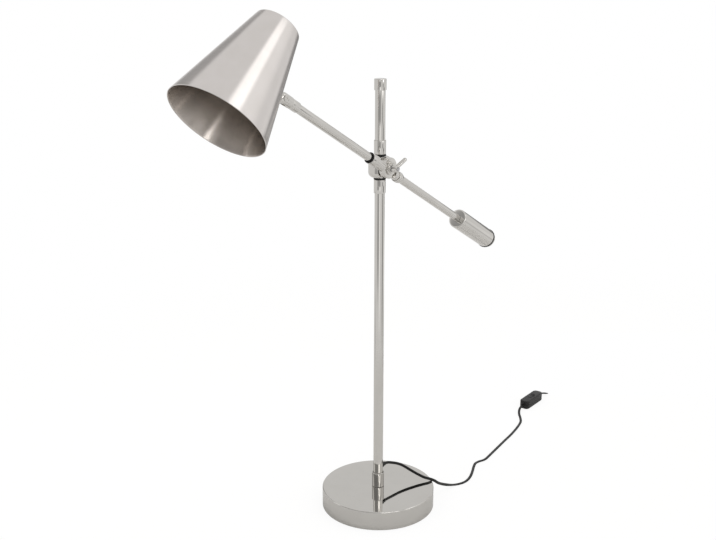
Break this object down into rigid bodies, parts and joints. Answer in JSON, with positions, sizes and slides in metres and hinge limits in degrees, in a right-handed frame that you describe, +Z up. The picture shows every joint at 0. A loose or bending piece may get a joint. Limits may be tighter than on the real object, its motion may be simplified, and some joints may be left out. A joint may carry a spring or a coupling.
{
  "type": "desk lamp",
  "caption": "Desk lamp with a weighted round base, a pole, a counterbalanced swing arm, a cone shade on a knuckle, and a flat lead with an in-line rocker switch.",
  "frame": {"origin": "centre of the base's underside, where the felt meets the table", "axes": "+Z up the pole, -Y towards the shade with the arm straight ahead, +X to the side of the pole that carries the arm and the lever nut"},
  "size_m": [0.2, 1.189, 0.8798],
  "materials": {
    "polished_nickel": "polished nickel plate",
    "brushed_nickel": "spun steel, satin nickel plate",
    "plain_steel": "plain zinc-plated steel",
    "brass": "bare brass",
    "cast_iron": "as cast",
    "felt": "black felt",
    "black_nylon": "moulded nylon",
    "cable_sheath": "smooth flexible sheath",
    "black_plastic": "moulded, soft gloss"
  },
  "bodies": {
    "stand": {"felt_pad": "felt", "base_shell": "polished_nickel", "base_weight": "cast_iron", "base_washer": "plain_steel", "base_nut": "plain_steel", "base_nipple": "plain_steel", "base_ferrule": "polished_nickel", "pole_lower": "polished_nickel", "cord_grommet": "black_nylon", "pole_lead": "cable_sheath", "lower_hub_ferrule": "polished_nickel", "upper_hub_ferrule": "polished_nickel", "hub_spindle": "plain_steel", "lower_swivel_washer": "black_nylon", "upper_swivel_washer": "black_nylon", "pole_upper": "polished_nickel", "top_cap": "polished_nickel", "cord_lead": "cable_sheath", "cord_tail": "cable_sheath", "cord_coil": "cable_sheath", "coil_tie": "black_nylon", "plug_body": "black_plastic", "plug_pin_left": "polished_nickel", "plug_pin_right": "polished_nickel", "switch_base": "black_plastic", "switch_cover": "black_plastic", "switch_screw": "plain_steel", "switch_contact": "brass"},
    "hub": {"hub_body": "polished_nickel", "tilt_bolt": "plain_steel", "tilt_washer": "black_nylon", "clamp_disc": "polished_nickel", "spring_washer": "plain_steel"},
    "lever": {"lever_nut": "polished_nickel"},
    "arm": {"arm_carrier": "polished_nickel", "front_ferrule": "polished_nickel", "front_ring": "black_nylon", "front_tube": "polished_nickel", "arm_end_ferrule": "polished_nickel", "arm_lead": "cable_sheath", "rear_ferrule": "polished_nickel", "rear_rod": "polished_nickel", "counterweight": "polished_nickel", "weight_ring": "black_nylon", "weight_cap": "polished_nickel", "knuckle_fork": "polished_nickel", "knuckle_screw": "polished_nickel", "knuckle_nut": "polished_nickel"},
    "head": {"knuckle_tongue": "polished_nickel", "shade_flange": "polished_nickel", "shade_nut": "plain_steel", "shade": "brushed_nickel", "holder_nipple": "plain_steel", "holder_nut": "polished_nickel", "lampholder_cap": "black_plastic", "lampholder_skirt": "black_plastic", "lampholder_sleeve": "brass", "lampholder_contact": "brass", "holder_lead": "cable_sheath"},
    "rocker": {"switch_rocker": "black_plastic"}
  },
  "joints": [
    {"name": "arm_swing", "type": "hinge", "parent": "stand", "child": "hub", "pos_m": [0, 0, 0.617], "axis": [0, 0, 1], "range_deg": [-170, 170]},
    {"name": "arm_tilt", "type": "hinge", "parent": "hub", "child": "arm", "pos_m": [0.018, 0, 0.617], "axis": [1, 0, 0], "range_deg": [-30, 75]},
    {"name": "lever_turn", "type": "hinge", "parent": "hub", "child": "lever", "pos_m": [0.0335, 0, 0.617], "axis": [1, 0, 0], "range_deg": [0, 360]},
    {"name": "head_tilt", "type": "hinge", "parent": "arm", "child": "head", "pos_m": [0.018, -0.24964, 0.75559], "axis": [1, 0, 0], "range_deg": [-60, 50]},
    {"name": "switch_rock", "type": "hinge", "parent": "stand", "child": "rocker", "pos_m": [-0.0165, 0.567, 0.0155], "axis": [0.9986, 0.0523, 0], "range_deg": [-14, 0]}
  ]
}
